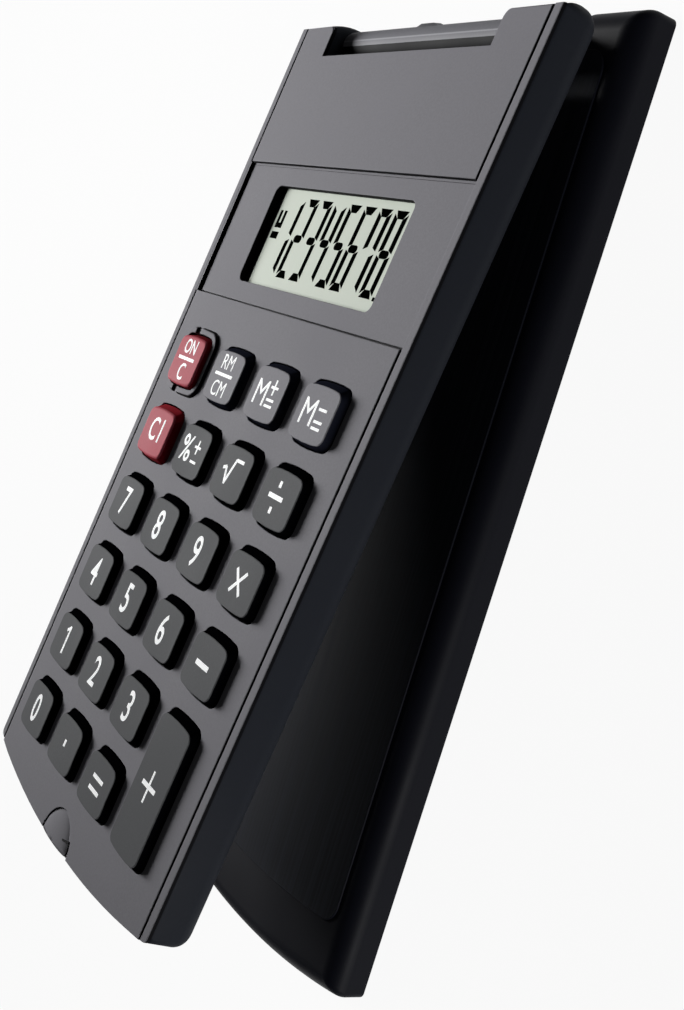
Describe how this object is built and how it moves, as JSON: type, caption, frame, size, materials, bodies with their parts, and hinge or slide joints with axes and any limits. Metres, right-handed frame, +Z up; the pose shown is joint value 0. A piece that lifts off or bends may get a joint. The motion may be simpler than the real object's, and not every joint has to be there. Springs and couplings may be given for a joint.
{
  "type": "electronic calculator",
  "caption": "Slim pocket calculator with a digit display and keypad, on a two-axis hinge with a hard cover that folds round behind it",
  "frame": {"origin": "on the surface under the middle of the whole object, which lies on the rim of its folded-back cover", "axes": "+Z up out of the cover's outer face, +Y along the cover towards the hinge, +X to the right as the keypad is read"},
  "size_m": [0.062, 0.131, 0.0343],
  "materials": {
    "front_plastic": "fine matt texture, dark grey",
    "shell_plastic": "satin, blue black",
    "cover_plastic": "satin black with a brushed panel",
    "link_plastic": "satin, dark grey",
    "red_key": "satin, dark red with white label",
    "light_key": "satin, mid grey with white label",
    "dark_key": "satin, dark grey with white label",
    "display_glass": "pale green grey display glass",
    "connector_rubber": "striped elastic strip",
    "board": "green circuit board with key contacts",
    "chip_resin": "black resin blob",
    "mat_rubber": "silicone key mat",
    "cell_steel": "bright steel can",
    "contact_metal": "springy sheet",
    "screw_steel": "small slotted screws",
    "pin_steel": "ground steel"
  },
  "bodies": {
    "case": {"front_shell": "front_plastic", "rear_shell": "shell_plastic", "case_screws": "screw_steel", "lcd_panel": "display_glass", "lcd_connector": "connector_rubber", "circuit_board": "board", "keypad_mat": "mat_rubber", "chip_cover": "chip_resin", "button_cell": "cell_steel", "cell_contact_plus": "contact_metal", "cell_contact_minus": "contact_metal", "case_hinge_pins": "pin_steel"},
    "link": {"hinge_link": "link_plastic"},
    "cover": {"cover": "cover_plastic", "cover_hinge_pins": "pin_steel"},
    "key_on_clear": {"key_on_clear": "red_key"},
    "key_memory_recall": {"key_memory_recall": "light_key"},
    "key_memory_plus": {"key_memory_plus": "light_key"},
    "key_memory_minus": {"key_memory_minus": "light_key"},
    "key_clear_entry": {"key_clear_entry": "red_key"},
    "key_percent": {"key_percent": "dark_key"},
    "key_square_root": {"key_square_root": "dark_key"},
    "key_divide": {"key_divide": "dark_key"},
    "key_7": {"key_7": "dark_key"},
    "key_8": {"key_8": "dark_key"},
    "key_9": {"key_9": "dark_key"},
    "key_multiply": {"key_multiply": "dark_key"},
    "key_4": {"key_4": "dark_key"},
    "key_5": {"key_5": "dark_key"},
    "key_6": {"key_6": "dark_key"},
    "key_subtract": {"key_subtract": "dark_key"},
    "key_1": {"key_1": "dark_key"},
    "key_2": {"key_2": "dark_key"},
    "key_3": {"key_3": "dark_key"},
    "key_add": {"key_add": "dark_key"},
    "key_0": {"key_0": "dark_key"},
    "key_point": {"key_point": "dark_key"},
    "key_equals": {"key_equals": "dark_key"}
  },
  "joints": [
    {"name": "case_hinge", "type": "hinge", "parent": "case", "child": "link", "pos_m": [0, 0.05935, 0.01229], "axis": [1, 0, 0], "range_deg": [0, 115.59]},
    {"name": "cover_hinge", "type": "hinge", "parent": "link", "child": "cover", "pos_m": [0, 0.06179, 0.0028], "axis": [1, 0, 0], "range_deg": [-8.6, 235.81]},
    {"name": "key_on_clear_press", "type": "slide", "parent": "case", "child": "key_on_clear", "axis": [0, -0.1495, -0.9888], "range_m": [0, 0.0008], "stiffness_N_per_m": 600, "deforming": ["keypad_mat"]},
    {"name": "key_memory_recall_press", "type": "slide", "parent": "case", "child": "key_memory_recall", "axis": [0, -0.1495, -0.9888], "range_m": [0, 0.0008], "stiffness_N_per_m": 600, "deforming": ["keypad_mat"]},
    {"name": "key_memory_plus_press", "type": "slide", "parent": "case", "child": "key_memory_plus", "axis": [0, -0.1495, -0.9888], "range_m": [0, 0.0008], "stiffness_N_per_m": 600, "deforming": ["keypad_mat"]},
    {"name": "key_memory_minus_press", "type": "slide", "parent": "case", "child": "key_memory_minus", "axis": [0, -0.1495, -0.9888], "range_m": [0, 0.0008], "stiffness_N_per_m": 600, "deforming": ["keypad_mat"]},
    {"name": "key_clear_entry_press", "type": "slide", "parent": "case", "child": "key_clear_entry", "axis": [0, -0.1495, -0.9888], "range_m": [0, 0.0008], "stiffness_N_per_m": 600, "deforming": ["keypad_mat"]},
    {"name": "key_percent_press", "type": "slide", "parent": "case", "child": "key_percent", "axis": [0, -0.1495, -0.9888], "range_m": [0, 0.0008], "stiffness_N_per_m": 600, "deforming": ["keypad_mat"]},
    {"name": "key_square_root_press", "type": "slide", "parent": "case", "child": "key_square_root", "axis": [0, -0.1495, -0.9888], "range_m": [0, 0.0008], "stiffness_N_per_m": 600, "deforming": ["keypad_mat"]},
    {"name": "key_divide_press", "type": "slide", "parent": "case", "child": "key_divide", "axis": [0, -0.1495, -0.9888], "range_m": [0, 0.0008], "stiffness_N_per_m": 600, "deforming": ["keypad_mat"]},
    {"name": "key_7_press", "type": "slide", "parent": "case", "child": "key_7", "axis": [0, -0.1495, -0.9888], "range_m": [0, 0.0008], "stiffness_N_per_m": 600, "deforming": ["keypad_mat"]},
    {"name": "key_8_press", "type": "slide", "parent": "case", "child": "key_8", "axis": [0, -0.1495, -0.9888], "range_m": [0, 0.0008], "stiffness_N_per_m": 600, "deforming": ["keypad_mat"]},
    {"name": "key_9_press", "type": "slide", "parent": "case", "child": "key_9", "axis": [0, -0.1495, -0.9888], "range_m": [0, 0.0008], "stiffness_N_per_m": 600, "deforming": ["keypad_mat"]},
    {"name": "key_multiply_press", "type": "slide", "parent": "case", "child": "key_multiply", "axis": [0, -0.1495, -0.9888], "range_m": [0, 0.0008], "stiffness_N_per_m": 600, "deforming": ["keypad_mat"]},
    {"name": "key_4_press", "type": "slide", "parent": "case", "child": "key_4", "axis": [0, -0.1495, -0.9888], "range_m": [0, 0.0008], "stiffness_N_per_m": 600, "deforming": ["keypad_mat"]},
    {"name": "key_5_press", "type": "slide", "parent": "case", "child": "key_5", "axis": [0, -0.1495, -0.9888], "range_m": [0, 0.0008], "stiffness_N_per_m": 600, "deforming": ["keypad_mat"]},
    {"name": "key_6_press", "type": "slide", "parent": "case", "child": "key_6", "axis": [0, -0.1495, -0.9888], "range_m": [0, 0.0008], "stiffness_N_per_m": 600, "deforming": ["keypad_mat"]},
    {"name": "key_subtract_press", "type": "slide", "parent": "case", "child": "key_subtract", "axis": [0, -0.1495, -0.9888], "range_m": [0, 0.0008], "stiffness_N_per_m": 600, "deforming": ["keypad_mat"]},
    {"name": "key_1_press", "type": "slide", "parent": "case", "child": "key_1", "axis": [0, -0.1495, -0.9888], "range_m": [0, 0.0008], "stiffness_N_per_m": 600, "deforming": ["keypad_mat"]},
    {"name": "key_2_press", "type": "slide", "parent": "case", "child": "key_2", "axis": [0, -0.1495, -0.9888], "range_m": [0, 0.0008], "stiffness_N_per_m": 600, "deforming": ["keypad_mat"]},
    {"name": "key_3_press", "type": "slide", "parent": "case", "child": "key_3", "axis": [0, -0.1495, -0.9888], "range_m": [0, 0.0008], "stiffness_N_per_m": 600, "deforming": ["keypad_mat"]},
    {"name": "key_add_press", "type": "slide", "parent": "case", "child": "key_add", "axis": [0, -0.1495, -0.9888], "range_m": [0, 0.0008], "stiffness_N_per_m": 600, "deforming": ["keypad_mat"]},
    {"name": "key_0_press", "type": "slide", "parent": "case", "child": "key_0", "axis": [0, -0.1495, -0.9888], "range_m": [0, 0.0008], "stiffness_N_per_m": 600, "deforming": ["keypad_mat"]},
    {"name": "key_point_press", "type": "slide", "parent": "case", "child": "key_point", "axis": [0, -0.1495, -0.9888], "range_m": [0, 0.0008], "stiffness_N_per_m": 600, "deforming": ["keypad_mat"]},
    {"name": "key_equals_press", "type": "slide", "parent": "case", "child": "key_equals", "axis": [0, -0.1495, -0.9888], "range_m": [0, 0.0008], "stiffness_N_per_m": 600, "deforming": ["keypad_mat"]}
  ]
}
